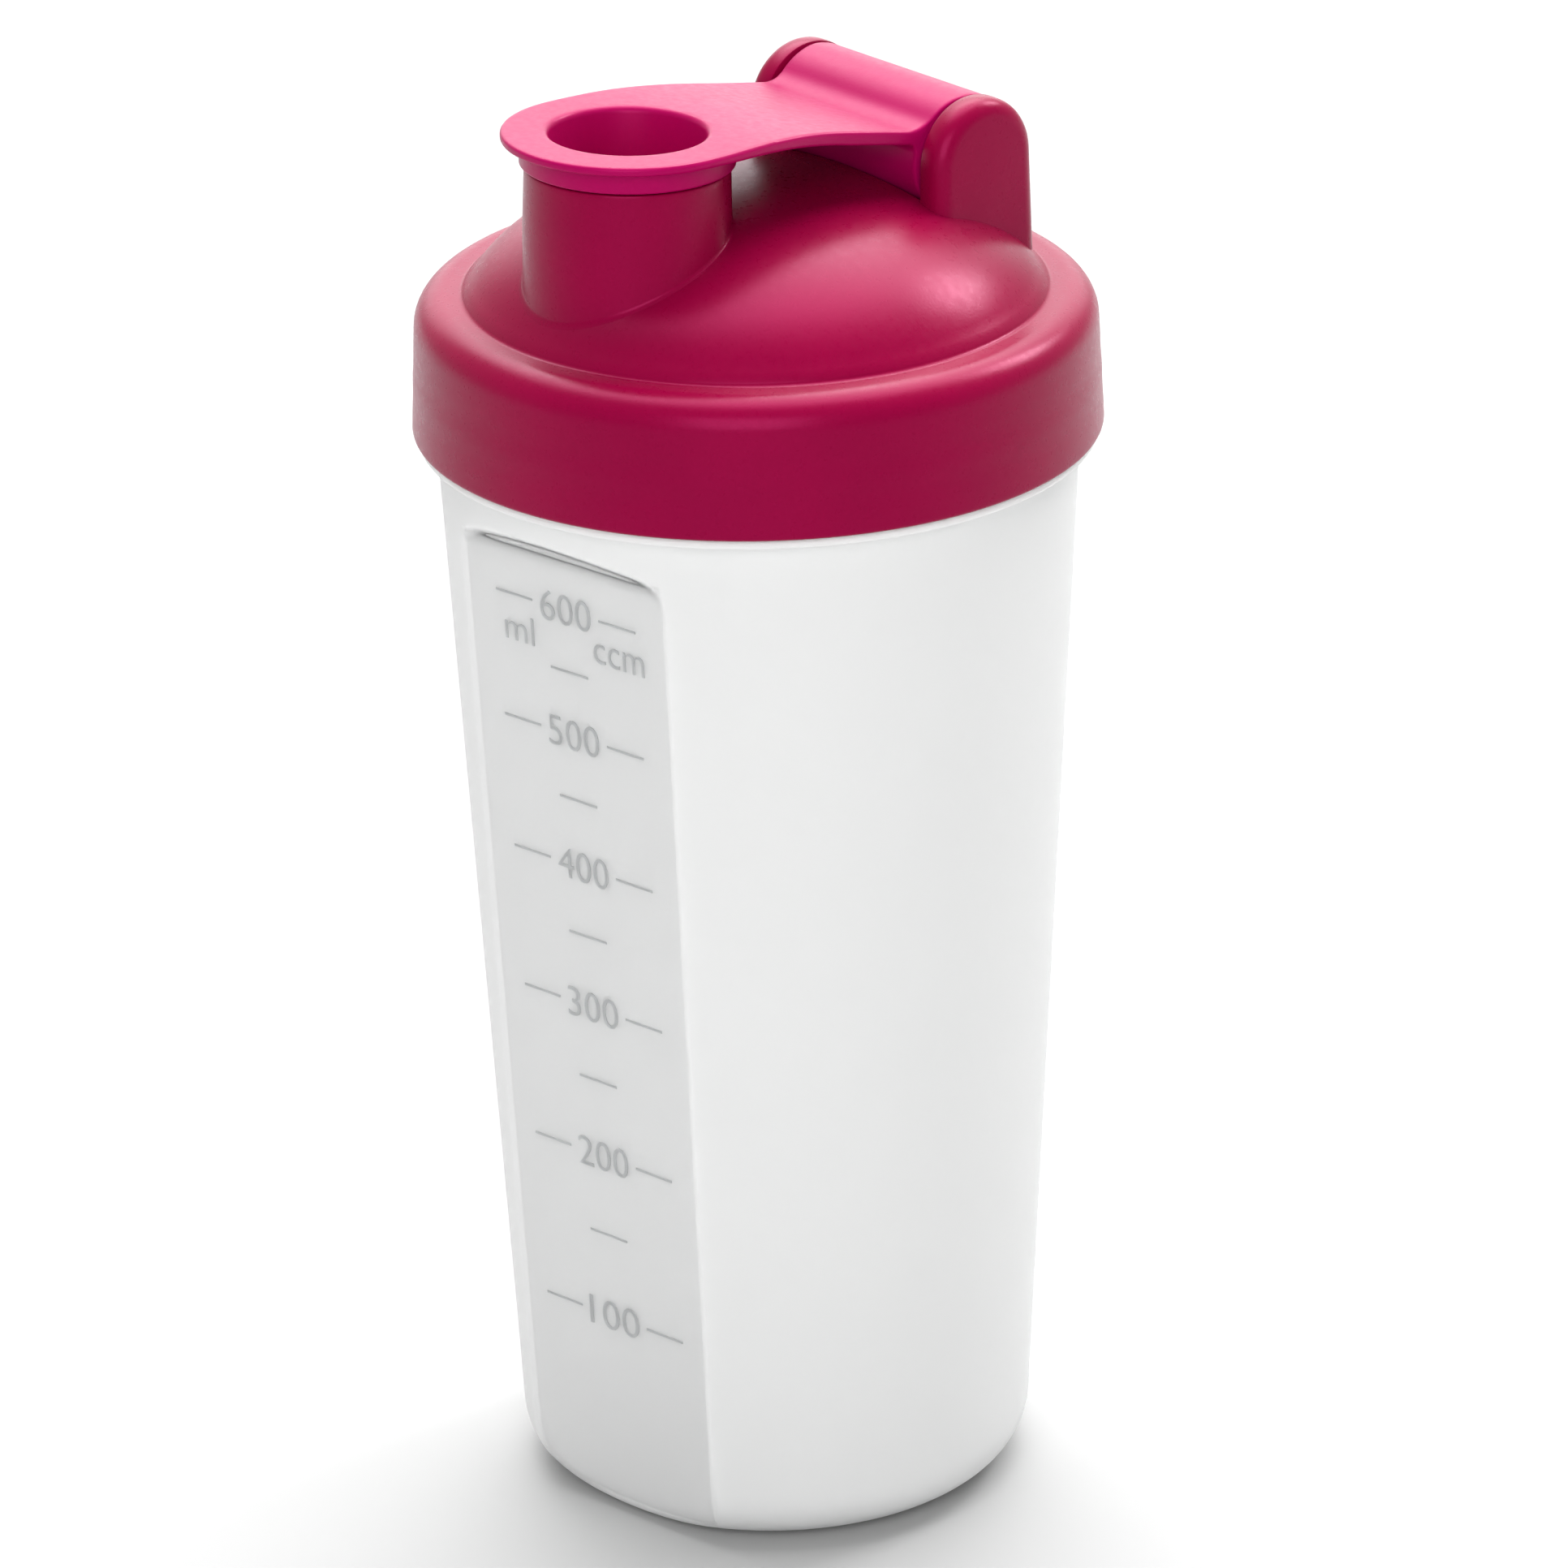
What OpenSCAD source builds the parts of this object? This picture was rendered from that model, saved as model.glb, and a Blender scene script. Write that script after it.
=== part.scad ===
// Protein shaker bottle: a tapered cup with a flat scale panel, a screw lid with a
// side spout, a seal and a mixing sieve under the lid, and a flip cap on a hinge.
// Frame: origin at the middle of the foot, +Z up, spout towards -Y, hinge axis along X.

/* [Cup] */
// Height of the cup from the foot to its rim
cup_h = 170.8; // [168:0.2:172]
// Outer radius of the cup wall, carried down to the foot
foot_r = 35.5; // [34:0.1:37]
// Outer radius of the cup wall, carried up to the lid's lower edge
shoulder_r = 44.35; // [43.8:0.05:44.6]
// Thickness of the cup wall
cup_wall = 1.7; // [1.4:0.1:2.0]
// Thickness of the cup floor
floor_t = 2.2; // [1.8:0.1:2.8]
// Radius of the rounded corner at the foot
foot_round = 9.8; // [8:0.1:11]
// How deep the scale panel is cut into the wall, at its middle
panel_depth = 4.4; // [3.6:0.1:4.8]
// Height of the panel's upper edge
panel_top = 146; // [140:1:149]
// Turn of the panel from the spout when the lid is tight, in degrees
panel_turn = 6.5; // [-15:0.5:15]

/* [Lid] */
// Height of the lid's lower edge
lid_z = 156.1; // [156:0.1:156.4]
// Outer radius of the lid at its lower edge
lid_r = 47.5; // [47.3:0.1:48.5]
// Thickness of the lid's walls
lid_wall = 1.8; // [1.6:0.1:2.0]
// Height of the lid's shoulder above its lower edge
shoulder_h = 19.3; // [19:0.1:20]
// Height of the dome's top
dome_top = 190.3; // [190:0.1:191]
// Screw lead, the lift for each whole turn
thread_lead = 6; // [5:0.5:7]

/* [Spout] */
// Distance of the spout from the bottle's middle
spout_y = 22.1; // [21.5:0.1:22.8]
// Outer radius of the spout
spout_r = 14; // [13.8:0.1:14.1]
// Radius of the spout's bore
bore_r = 12.1; // [12:0.05:12.2]
// Backward lean of the spout, in degrees
spout_lean = 2; // [1.5:0.1:2.5]

/* [Flip cap] */
// Height of the cap's face over the spout's middle
cap_z = 203; // [202.8:0.1:203.4]
// Radius of the cap's round nose
nose_r = 17.2; // [16.8:0.1:17.8]
// Radius of the finger recess
recess_r = 10.7; // [10:0.1:10.8]
// Depth of the finger recess
recess_d = 7.8; // [6:0.1:8]

/* [Hinge] */
// Distance of the hinge axis from the bottle's middle
hinge_y = 24.6; // [24:0.1:25]
// Height of the hinge axis
hinge_z = 192.3; // [192:0.1:192.6]
// Radius of the cap's hinge barrel
barrel_r = 8.65; // [8.3:0.05:8.8]
// Distance from the middle to each post's inner face
post_x = 16.2; // [15.8:0.1:16.6]
// Thickness of each post
post_t = 4.2; // [3.6:0.1:4.6]
// Radius of the stub axles
axle_r = 2.6; // [2.2:0.1:3]

/* [Hidden] */
$fn = 96;
big = 200;

// Cup: a cone above a rounded foot, then a bead and a plain neck that carries the thread.
taper = (shoulder_r - foot_r) / lid_z;
taper_angle = atan(taper);
neck_r = 43.1;
neck_in_r = 41.3;
bead_r = 46.8;
bead_z = lid_z - 1.4;
bead_top = lid_z - 0.2;
cone_top = bead_z - 6;
foot_ring_r = foot_r - foot_round - 6;
foot_hollow = 1.1;
panel_low = 8;
panel_fade = 7;
ledge_run = 8;
ledge_rise = 4;
edge = 0.4;

// Thread: one ridge on the neck, one inside the lid, half a lead apart in height.
thread_turns = 1.25;
thread_z = 159.4;
thread_base = 2.4;
thread_crest = 1.1;
thread_h = 1.3;
skirt_in_r = 45.3;

// Sieve and seal between the cup's rim and the lid.
flange_t = 1.0;
sieve_z = cup_h + 0.02;
sieve_out_r = 40.9;
sieve_drop = 7;
seal_z = sieve_z + flange_t + 0.05;
seal_in_r = 39.2;
seal_out_r = 43.0;
lid_roof = lid_z + 17.4;

// Dome: a flattened round form given by one formula.
groove_r = 39.4;
dome_a = 42.5;
dome_power = 2.5;
dome_base = 166.4;

// Cap face: flat over the spout, then bent down towards the hinge.
bend_y1 = -15;
bend_y2 = 3;
arm_angle = 12.4;
arm_slope = tan(arm_angle);
lean_slope = tan(spout_lean);
nose_t = 1.3;
arm_t = 2.1;
root_y = hinge_y - 6.4;
skirt_r = 14.65;
skirt_in = 13.5;
skirt_h = 3.2;
rim_r = 13.15;
cap_half = post_x - 0.3;
waist_half = 14.7;
waist_y = 5;
plug_top_r = 11.8;
plug_low_r = 10.5;
plug_h = 9;
post_round = 2.4;
post_drop = 21;
rim_gap = 0.8;
rim_step = 4.8;
barrel_gap = 0.55;
tube_h = 22;
root_top = 4.5;
root_low = 2;
join_angle = 132;
heel_angle = 172;

function cone_r(z) = foot_r + taper * z;
function dome_z(r, a, top) = dome_base + (top - dome_base) * sqrt(1 - pow(r / a, dome_power));
function arc(c, r, a0, a1, n) = [for (i = [0:n]) let (a = a0 + (a1 - a0) * i / n) c + r * [cos(a), sin(a)]];

// Height of the cap's upper face at y: lean, then an even bend, then the arm's slope.
function bend(y) = (min(max(y, bend_y1), bend_y2) - bend_y1) / (bend_y2 - bend_y1);
function face_z(y) = cap_z - lean_slope * (y + spout_y)
    - (arm_slope - lean_slope) * (bend(y) * bend(y) * (bend_y2 - bend_y1) / 2 + max(0, y - bend_y2));
function face_t(y) = nose_t + (arm_t - nose_t) * min(1, max(0, (y + spout_y) / (waist_y + spout_y)));

// Half width of the arm at y: from the round nose to the waist, then out to the barrel.
function arm_half(y) = y < waist_y
    ? waist_half + (nose_r - waist_half) * (1 + cos(180 * (y + spout_y) / (waist_y + spout_y))) / 2
    : waist_half + (cap_half - waist_half) * pow((y - waist_y) / (hinge_y - waist_y), 2);

// A helical ridge: radius r0 at its root, radius r1 at its crest.
module thread_ridge(r0, r1, z0, turns, steps = 24) {
    n = ceil(turns * steps);
    ring = function (i) let (
        a = 360 * i / steps,
        z = z0 + thread_lead * i / steps,
        fade = min(1, min(i, n - i) / 3),
        rc = r0 + (r1 - r0) * max(0.05, fade),
        b = thread_base / 2,
        c = thread_crest / 2
    ) [for (p = [[r0, -b], [rc, -c], [rc, c], [r0, b]]) [p[0] * cos(a), p[0] * sin(a), z + p[1]]];
    points = [for (i = [0:n]) each ring(i)];
    flip = r1 > r0;
    sides = [for (i = [0:n - 1]) for (k = [0:3]) let (m = (k + 1) % 4, a = 4 * i, b = 4 * i + 4)
        each [[a + k, b + k, b + m], [a + k, b + m, a + m]]];
    ends = [[0, 1, 2], [0, 2, 3], [4 * n + 2, 4 * n + 1, 4 * n], [4 * n + 3, 4 * n + 2, 4 * n]];
    faces = concat(sides, ends);
    polyhedron(points, flip ? [for (f = faces) [f[2], f[1], f[0]]] : faces, convexity = 6);
}

// Everything outside the panel's plane, set in by inset, between its fade and its upper edge.
module panel_cut(inset) {
    z1 = panel_top - inset;
    d = function (z) cone_r(z) - panel_depth - inset;
    side = [
        [d(panel_low), panel_low], [d(z1), z1], [d(z1) + ledge_run, z1 + ledge_rise],
        [big, z1 + ledge_rise], [big, 0], [d(panel_low) + ledge_run, panel_low - panel_fade]
    ];
    rotate([0, 0, panel_turn - 90])
        rotate([90, 0, 0])
            linear_extrude(height = big, center = true)
                polygon(side);
}

module cup_solid(in) {
    r1 = cone_r(foot_round) - in;
    round_r = foot_round - in;
    low = in > 0 ? floor_t : 0;
    corner = arc([r1 - round_r, low + round_r], round_r, -90, -taper_angle, 10);
    rotate_extrude()
        polygon(concat([[0, low]], corner, [[cone_r(cone_top) - in, cone_top], [0, cone_top]]));
}

module cup() {
    color("whitesmoke")
    difference() {
        union() {
            difference() {
                cup_solid(0);
                panel_cut(0);
            }
            rotate_extrude()
                polygon([
                    [0, cone_top], [cone_r(cone_top), cone_top], [cone_r(bead_z), bead_z],
                    [bead_r - edge, bead_z], [bead_r, bead_z + edge], [bead_r, bead_top - edge],
                    [bead_r - edge, bead_top], [neck_r, bead_top], [neck_r, cup_h - edge],
                    [neck_r - edge, cup_h], [0, cup_h]
                ]);
            thread_ridge(neck_r - 0.3, neck_r + thread_h, thread_z, thread_turns);
        }
        difference() {
            cup_solid(cup_wall);
            panel_cut(cup_wall);
        }
        rotate_extrude()
            polygon([
                [0, cone_top - 0.1], [cone_r(cone_top - 0.1) - cup_wall, cone_top - 0.1],
                [neck_in_r, bead_top - 2], [neck_in_r, cup_h + 1], [0, cup_h + 1]
            ]);
        translate([0, 0, -1])
            cylinder(r1 = foot_ring_r + 1, r2 = foot_ring_r - 0.5, h = 1 + foot_hollow);
    }
}

// Sieve: a flange that rests on the cup's rim, a short basket and a spoked grid.
module mixing_sieve() {
    slot_w = 3.4;
    bar_w = 1.8;
    pitch = slot_w + bar_w;
    grid_t = 1.8;
    low = sieve_z - sieve_drop;
    color("gainsboro") {
        rotate_extrude()
            polygon([
                [sieve_out_r - 1.4, low], [sieve_out_r - 0.4, low], [sieve_out_r, low + 2],
                [sieve_out_r, sieve_z], [neck_r - 0.2, sieve_z], [neck_r - 0.2, sieve_z + flange_t],
                [sieve_out_r - 1.4, sieve_z + flange_t]
            ]);
        intersection() {
            translate([0, 0, low])
                cylinder(r = sieve_out_r - 1.2, h = grid_t);
            union() {
                for (k = [-7:7]) {
                    translate([k * pitch - bar_w / 2, -big / 2, low])
                        cube([bar_w, big, grid_t]);
                    translate([-big / 2, k * pitch - bar_w / 2, low])
                        cube([big, bar_w, grid_t]);
                }
            }
        }
    }
}

module lid_seal() {
    color("white")
    rotate_extrude()
        polygon([
            [seal_in_r, seal_z], [seal_out_r, seal_z],
            [seal_out_r, lid_roof - 0.02], [seal_in_r, lid_roof - 0.02]
        ]);
}

// The dome's outline between two radii, as points on its formula.
function dome_curve(r0, r1, a, top, n) =
    [for (i = [0:n]) let (r = r0 + (r1 - r0) * i / n) [r, dome_z(r, a, top)]];

module lid_shell() {
    top = lid_z + shoulder_h;
    corner = 4.5;
    skirt_top_r = lid_r - 0.6;
    rotate_extrude()
        polygon(concat(
            [[skirt_in_r + 0.5, lid_z], [lid_r - 0.3, lid_z], [lid_r, lid_z + 0.3]],
            arc([skirt_top_r - corner, top - corner], corner, 0, 90, 10),
            [[groove_r + 0.8, top + 0.15]],
            dome_curve(groove_r, 0, dome_a, dome_top, 18),
            dome_curve(0, groove_r - 2.2, dome_a - lid_wall, dome_top - lid_wall, 14),
            [[groove_r - 2.2, lid_roof], [skirt_in_r - 0.8, lid_roof],
             [skirt_in_r, lid_roof - 0.8], [skirt_in_r, lid_z + 0.5]]
        ));
}

// The dome's full volume, used to trim what stands inside it.
module dome_volume() {
    rotate_extrude()
        polygon(concat([[0, lid_roof]], [[groove_r - 1, lid_roof]],
            dome_curve(groove_r - 1, 0, dome_a - 0.4, dome_top - 0.4, 14)));
}

module along_x(r, half) {
    translate([0, hinge_y, hinge_z])
        rotate([0, 90, 0])
            cylinder(r = r, h = 2 * half, center = true);
}

// Placed at the spout's top and leaned back with it.
module at_spout() {
    translate([0, -spout_y, cap_z])
        rotate([-spout_lean, 0, 0])
            children();
}

// One post: a round-topped slab, lying on its inner face, with a rounded outer edge.
module hinge_post() {
    r = barrel_r + 0.15;
    rim = arc([r - post_round, post_t - post_round], post_round, 0, 90, 6);
    rotate_extrude()
        polygon(concat([[0, 0], [r, 0]], rim, [[0, post_t]]));
    rotate([90, 0, 90])
        linear_extrude(height = post_drop)
            polygon(concat([[-r, 0], [r, 0]], rim, [for (i = [6:-1:0]) [-rim[i][0], rim[i][1]]]));
}

module hinge_posts() {
    for (side = [0, 1]) {
        mirror([side, 0, 0])
            translate([post_x, hinge_y, hinge_z])
                rotate([0, 90, 0])
                    hinge_post();
    }
}

module screw_lid() {
    color("crimson")
    difference() {
        union() {
            lid_shell();
            intersection() {
                dome_volume();
                along_x(barrel_r + barrel_gap + lid_wall, post_x + 1);
            }
            difference() {
                union() {
                    at_spout()
                        translate([0, 0, -rim_step])
                            mirror([0, 0, 1])
                                cylinder(r1 = spout_r, r2 = spout_r + 0.2, h = tube_h);
                    at_spout()
                        translate([0, 0, -rim_step - 0.3])
                            cylinder(r = rim_r, h = rim_step + 0.3 - nose_t - rim_gap);
                }
                below_dome();
            }
            difference() {
                hinge_posts();
                below_dome();
            }
            for (side = [-1, 1]) {
                translate([side * (post_x + 0.5), hinge_y, hinge_z])
                    rotate([0, 90, 0])
                        cylinder(r = axle_r, h = 7, center = true);
            }
            thread_ridge(skirt_in_r + 0.3, skirt_in_r - thread_h, thread_z + thread_lead / 2, thread_turns);
        }
        difference() {
            along_x(barrel_r + barrel_gap, post_x);
            along_x(axle_r, post_x + 1);
        }
        at_spout()
            translate([0, 0, -40])
                cylinder(r = bore_r, h = 60);
    }
}

// The space under the dome's inner face, which the spout and the posts don't enter.
module below_dome() {
    rotate_extrude()
        polygon(concat([[0, lid_z]], [[groove_r - 2.2, lid_z]],
            dome_curve(groove_r - 2.2, 0, dome_a - lid_wall, dome_top - lid_wall, 14)));
}

// Side view of the cap's face and its underside, from the nose to the barrel.
module arm_side() {
    n = 24;
    y0 = -spout_y - nose_r - 1;
    step = (root_y + 4 - y0) / n;
    top = [for (i = [0:n]) let (y = y0 + i * step) [y, face_z(y)]];
    low = [for (i = [n:-1:0]) let (y = y0 + i * step) [y, face_z(y) - face_t(y)]];
    rotate([90, 0, 90])
        linear_extrude(height = 2 * nose_r + 4, center = true)
            polygon(concat(top, low));
}

// Plan view of the cap: the round nose and the arm.
module arm_plan() {
    n = 16;
    step = (hinge_y + spout_y) / n;
    right = [for (i = [0:n]) let (y = -spout_y + i * step) [arm_half(y), y]];
    left = [for (i = [n:-1:0]) let (y = -spout_y + i * step) [-arm_half(y), y]];
    translate([0, 0, lid_z])
        linear_extrude(height = 80) {
            translate([0, -spout_y])
                circle(r = nose_r);
            polygon(concat(right, left));
        }
}

// The concave fillets that carry the arm's two faces into the barrel.
module arm_root() {
    top = [root_y - root_top, face_z(root_y - root_top)];
    join = [hinge_y, hinge_z] + barrel_r * [cos(join_angle), sin(join_angle)];
    low = [root_y - root_low, face_z(root_y - root_low) - arm_t];
    heel = [hinge_y, hinge_z] + barrel_r * [cos(heel_angle), sin(heel_angle)];
    mid = (top + join) / 2 + [0.5, -0.75];
    rotate([90, 0, 90])
        linear_extrude(height = 2 * cap_half, center = true)
            polygon([top, mid, join, [hinge_y, hinge_z], heel, low]);
}

module flip_cap() {
    color("deeppink")
    difference() {
        union() {
            intersection() {
                arm_side();
                arm_plan();
            }
            arm_root();
            along_x(barrel_r, cap_half);
            at_spout() {
                translate([0, 0, -nose_t - skirt_h])
                    difference() {
                        cylinder(r = skirt_r, h = skirt_h + 0.4);
                        translate([0, 0, -1])
                            cylinder(r = skirt_in, h = skirt_h + 1);
                    }
                translate([0, 0, -nose_t - plug_h])
                    cylinder(r1 = plug_low_r, r2 = plug_top_r, h = plug_h + 0.4);
            }
        }
        at_spout() {
            translate([0, 0, -recess_d])
                cylinder(r1 = recess_r - 1, r2 = recess_r, h = recess_d + 1);
            rotate_extrude()
                polygon(concat([[0, 1], [0, -0.9]], [[recess_r - 0.2, -0.9]],
                    arc([recess_r + 0.8, -0.9], 0.9, 180, 90, 5), [[recess_r + 0.8, 1]]));
        }
        for (side = [-1, 1]) {
            translate([side * cap_half, hinge_y, hinge_z])
                rotate([0, 90, 0])
                    cylinder(r = axle_r + 0.06, h = 6.6, center = true);
        }
    }
}

cup();
mixing_sieve();
lid_seal();
screw_lid();
flip_cap();
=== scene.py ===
"""Looks of a protein shaker bottle: frosted cup, sieve, seal, screw lid and flip cap."""

import logging
import math
from collections.abc import Callable, Iterable, Sequence
from dataclasses import dataclass
from enum import Enum

import bmesh
import bpy
from mathutils import Matrix, Vector


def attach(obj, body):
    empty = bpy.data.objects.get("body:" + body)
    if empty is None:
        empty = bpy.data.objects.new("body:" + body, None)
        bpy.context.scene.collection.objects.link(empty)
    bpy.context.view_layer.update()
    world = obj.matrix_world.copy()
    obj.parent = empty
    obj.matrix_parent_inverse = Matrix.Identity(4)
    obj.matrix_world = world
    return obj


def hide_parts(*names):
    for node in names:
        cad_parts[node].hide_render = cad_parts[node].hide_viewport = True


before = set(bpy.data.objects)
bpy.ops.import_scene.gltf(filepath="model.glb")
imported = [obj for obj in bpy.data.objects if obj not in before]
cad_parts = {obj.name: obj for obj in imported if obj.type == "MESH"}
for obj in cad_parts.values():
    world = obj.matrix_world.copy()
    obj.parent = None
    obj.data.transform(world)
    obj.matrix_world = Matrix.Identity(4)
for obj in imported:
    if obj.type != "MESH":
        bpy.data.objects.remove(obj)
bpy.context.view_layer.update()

LOG = logging.getLogger("shaker_bottle")
MM = 0.001
Outline = list[tuple[float, float]]
Mesh = bmesh.types.BMesh


class Carve(Enum):
    """How one closed form is combined with another."""

    ADD = "UNION"
    CUT = "DIFFERENCE"
    KEEP = "INTERSECT"


class Hug(Enum):
    """Which face of the dome a ring of the spout's foot lies along."""

    FREE = 0
    OUTER = 1
    INNER = 2


# ------------------------------------------------------------------ mesh helpers


def arc(centre: tuple[float, float], radius: float, start: float, end: float, steps: int) -> Outline:
    """Gives points on a round stretch of an outline.

    Args:
        centre: Middle of the arc, as radius and height.
        radius: Radius of the arc.
        start: First angle in degrees.
        end: Last angle in degrees.
        steps: Number of stretches.

    Returns:
        The points, both ends included.
    """
    angles = [math.radians(start + (end - start) * i / steps) for i in range(steps + 1)]
    return [(centre[0] + radius * math.cos(a), centre[1] + radius * math.sin(a)) for a in angles]


def soft_min(a: float, b: float, width: float) -> float:
    """Gives the lower of two values, rounded where they lie within a width of each other.

    Args:
        a: First value.
        b: Second value.
        width: How near they are where the rounding starts.

    Returns:
        The rounded minimum.
    """
    share = min(1.0, max(0.0, 0.5 + 0.5 * (b - a) / width))
    return b + (a - b) * share - width * share * (1 - share)


def soft_positive(value: float, width: float) -> float:
    """The value where it is above zero, with a rounded start."""
    return -soft_min(-value, 0.0, width)


def lathe(
    outline: Sequence[tuple[float, float]], steps: int, tags: dict[str, Sequence[int]] | None = None,
) -> Mesh:
    """Spins a closed outline round the Z axis into a closed form.

    Args:
        outline: Radius and height of each corner, in millimetres.
        steps: Number of columns in the full turn.
        tags: Whole numbers to store on the rings, by layer name.

    Returns:
        A new mesh in millimetres, with its faces pointing outwards.
    """
    bm = bmesh.new()
    layers = {name: bm.verts.layers.int.new(name) for name in tags or {}}
    verts = [bm.verts.new((radius, 0.0, height)) for radius, height in outline]
    for name, values in (tags or {}).items():
        for vert, value in zip(verts, values):
            vert[layers[name]] = value
    edges = [bm.edges.new((verts[i - 1], verts[i])) for i in range(len(verts))]
    bmesh.ops.spin(
        bm, geom=verts + edges, cent=(0, 0, 0), axis=(0, 0, 1), angle=math.tau,
        steps=steps, use_merge=True, use_duplicate=False,
    )
    return tidy(bm)


def tidy(bm: Mesh) -> Mesh:
    """Merges doubled points, drops flattened faces and turns every face outwards.

    Args:
        bm: A closed mesh in millimetres.

    Returns:
        The same mesh.
    """
    bmesh.ops.remove_doubles(bm, verts=bm.verts, dist=2e-3)
    bmesh.ops.dissolve_degenerate(bm, edges=bm.edges, dist=1e-4)
    bmesh.ops.recalc_face_normals(bm, faces=bm.faces)
    return bm


def move(bm: Mesh, place: Callable[[Vector], Vector]) -> Mesh:
    """Moves every point of a mesh by a function.

    Args:
        bm: The mesh.
        place: Gives a point's new place from its old one.

    Returns:
        The same mesh.
    """
    for vert in bm.verts:
        vert.co = place(vert.co)
    return bm


def joined(parts: Iterable[Mesh]) -> Mesh:
    """Puts several closed forms in one mesh and frees them.

    Args:
        parts: The closed forms.

    Returns:
        A new mesh with all of them.
    """
    whole = bmesh.new()
    for part in parts:
        mesh = bpy.data.meshes.new("part")
        part.to_mesh(mesh)
        part.free()
        whole.from_mesh(mesh)
        bpy.data.meshes.remove(mesh)
    return whole


def carve(target: Mesh, tool: Mesh, how: Carve) -> Mesh:
    """Combines two closed forms with an exact Boolean and frees both.

    Args:
        target: The form that is kept or cut.
        tool: The form that is added or taken away.
        how: What is done with the tool.

    Returns:
        A new mesh of the result.
    """
    objects = []
    for part in (target, tool):
        mesh = bpy.data.meshes.new("carve")
        part.to_mesh(mesh)
        part.free()
        objects.append(bpy.data.objects.new("carve", mesh))
        bpy.context.scene.collection.objects.link(objects[-1])
    body, other = objects
    step = body.modifiers.new("carve", "BOOLEAN")
    step.operation = how.value
    step.solver = "EXACT"
    step.object = other
    bpy.context.view_layer.update()
    graph = bpy.context.evaluated_depsgraph_get()
    made = bpy.data.meshes.new_from_object(body.evaluated_get(graph))
    result = bmesh.new()
    result.from_mesh(made)
    bpy.data.meshes.remove(made)
    for item in objects:
        mesh = item.data
        bpy.data.objects.remove(item)
        bpy.data.meshes.remove(mesh)
    return result


def rod_x(radius: float, half: float, centre: tuple[float, float], steps: int = 96) -> Mesh:
    """Makes a closed round bar along X.

    Args:
        radius: Its radius.
        half: Half its length.
        centre: Y and Z of its axis.
        steps: Number of sides.

    Returns:
        A new mesh in millimetres.
    """
    bm = lathe([(0, -half), (radius, -half), (radius, half), (0, half)], steps)
    bmesh.ops.rotate(bm, verts=bm.verts, cent=(0, 0, 0), matrix=Matrix.Rotation(math.pi / 2, 3, "Y"))
    bmesh.ops.translate(bm, verts=bm.verts, vec=(0, *centre))
    return bm


@dataclass(frozen=True)
class Thread:
    """The screw thread, alike on the cup's neck and in the lid's skirt."""

    lead: float = 6.0
    turns: float = 1.25
    depth: float = 1.3
    sunk: float = 0.3
    half_foot: float = 1.2
    half_crest: float = 0.55
    neck_z: float = 159.4
    skirt_z: float = 162.4
    columns: int = 72

    def ridge(self, wall_r: float, side: int, start_z: float) -> Mesh:
        """Makes a ridge with sloping flanks by a screwed spin.

        Args:
            wall_r: Radius of the wall that it stands on.
            side: 1 where it stands outwards, -1 inwards.
            start_z: Height of its start.

        Returns:
            A new mesh in millimetres.
        """
        foot = wall_r - side * self.sunk
        crest = wall_r + side * self.depth
        section = [
            (foot, -self.half_foot), (crest, -self.half_crest),
            (crest, self.half_crest), (foot, self.half_foot),
        ]
        bm = bmesh.new()
        verts = [bm.verts.new((radius, 0.0, start_z + z)) for radius, z in section]
        face = bm.faces.new(verts)
        steps = round(self.turns * self.columns)
        bmesh.ops.spin(
            bm, geom=[face, *face.edges, *verts], cent=(0, 0, 0), axis=(0, 0, 1), angle=math.tau * self.turns,
            steps=steps, dvec=(0, 0, self.lead * self.turns / steps), use_duplicate=False,
        )
        return tidy(bm)


@dataclass(frozen=True)
class Piece:
    """A finished piece: its name, the body that it rides on and the finishes that it wears."""

    name: str
    body: str
    slot: str
    finishes: tuple[bpy.types.Material, ...]
    crease: float = 32.0
    stands_for: tuple[str, ...] = ()

    def make(self, bm: Mesh) -> bpy.types.Object:
        """Turns a mesh in millimetres into the piece, in metres, and frees it.

        Args:
            bm: The piece's mesh.

        Returns:
            The object, which rides on its body.
        """
        bmesh.ops.scale(bm, vec=(MM, MM, MM), verts=bm.verts)
        mesh = bpy.data.meshes.new(self.name)
        bm.to_mesh(mesh)
        bm.free()
        mesh.shade_smooth()
        mesh.set_sharp_from_angle(angle=math.radians(self.crease))
        for finish in self.finishes:
            mesh.materials.append(finish)
        item = bpy.data.objects.new(self.name, mesh)
        bpy.context.scene.collection.objects.link(item)
        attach(item, self.body)
        if self.stands_for:
            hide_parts(*self.stands_for)
        LOG.info("%s: %d faces on body %s", self.name, len(mesh.polygons), self.body)
        return item


# ------------------------------------------------------------------ finishes


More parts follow.
